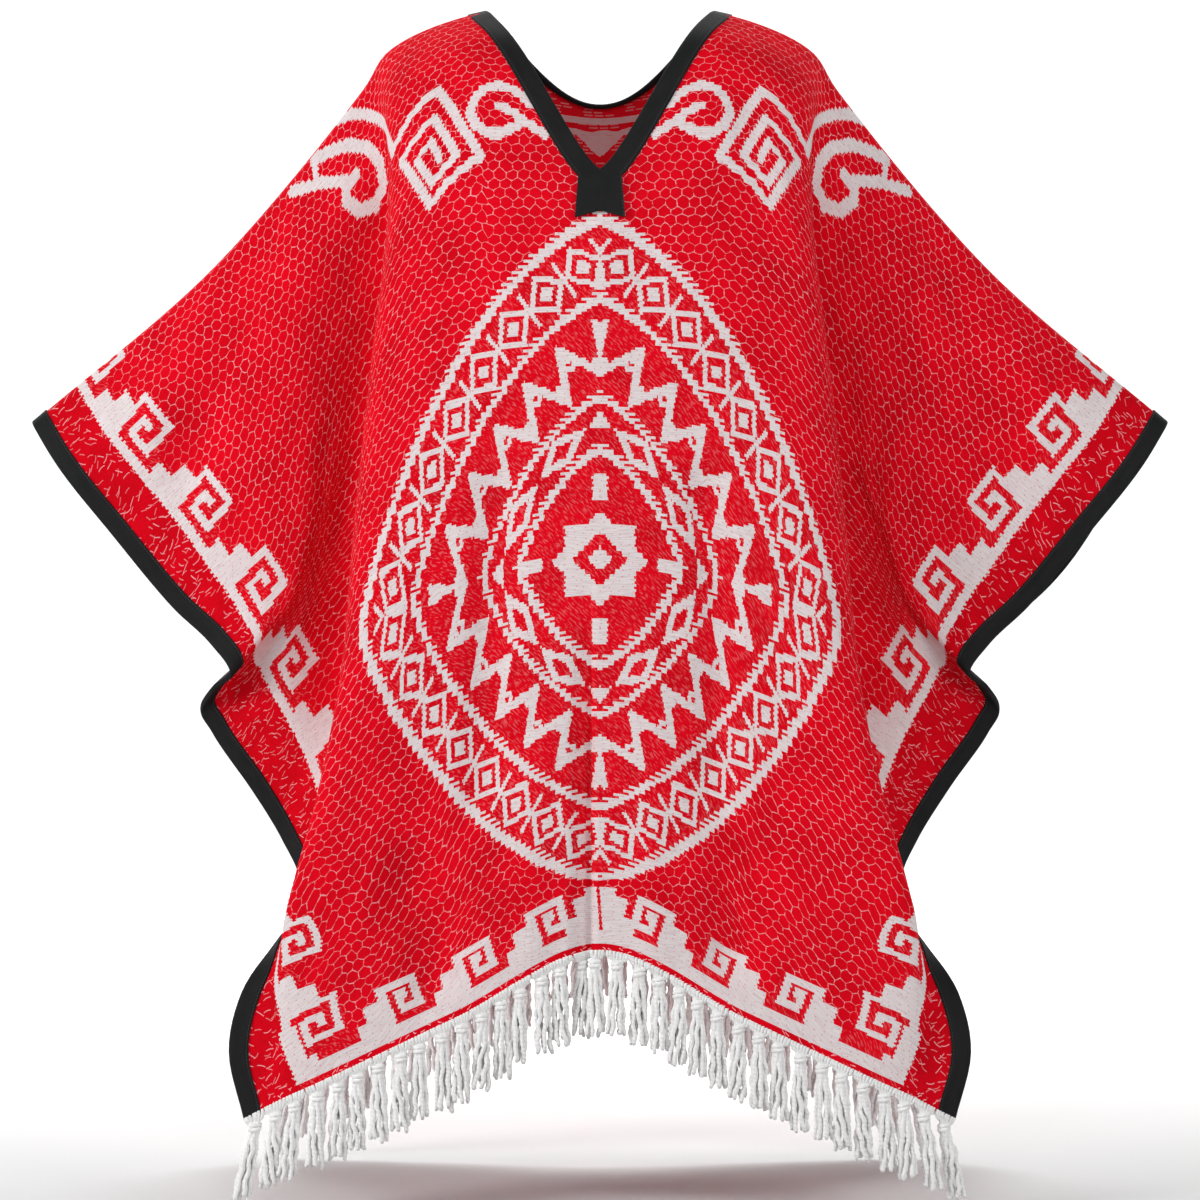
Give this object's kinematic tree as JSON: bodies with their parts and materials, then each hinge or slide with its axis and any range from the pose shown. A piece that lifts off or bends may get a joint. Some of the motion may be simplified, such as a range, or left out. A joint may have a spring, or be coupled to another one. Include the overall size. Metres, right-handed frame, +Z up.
{
  "type": "poncho",
  "caption": "Red jacquard wool poncho worn open at the sides, with a bound V-neck, stepped fret borders, a stepped lozenge and a knotted white fringe.",
  "frame": {"origin": "middle of the neck opening at the height of the shoulder crease, where the wearer's shoulders hold the poncho up", "axes": "+Z up, +X to the right of someone facing the front, front facing -Y"},
  "size_m": [1.1558, 0.369, 1.1871],
  "materials": {
    "red_cloth": "matt jacquard wool, bright red with white figures",
    "black_tape": "matt black woven binding",
    "white_yarn": "matt white twisted yarn"
  },
  "bodies": {
    "root": {"front_panel": "red_cloth", "back_panel": "red_cloth", "neck_binding": "black_tape", "neck_tab": "black_tape", "side_binding_left": "black_tape", "side_binding_right": "black_tape", "fringe_front": "white_yarn", "fringe_back": "white_yarn"}
  },
  "joints": []
}
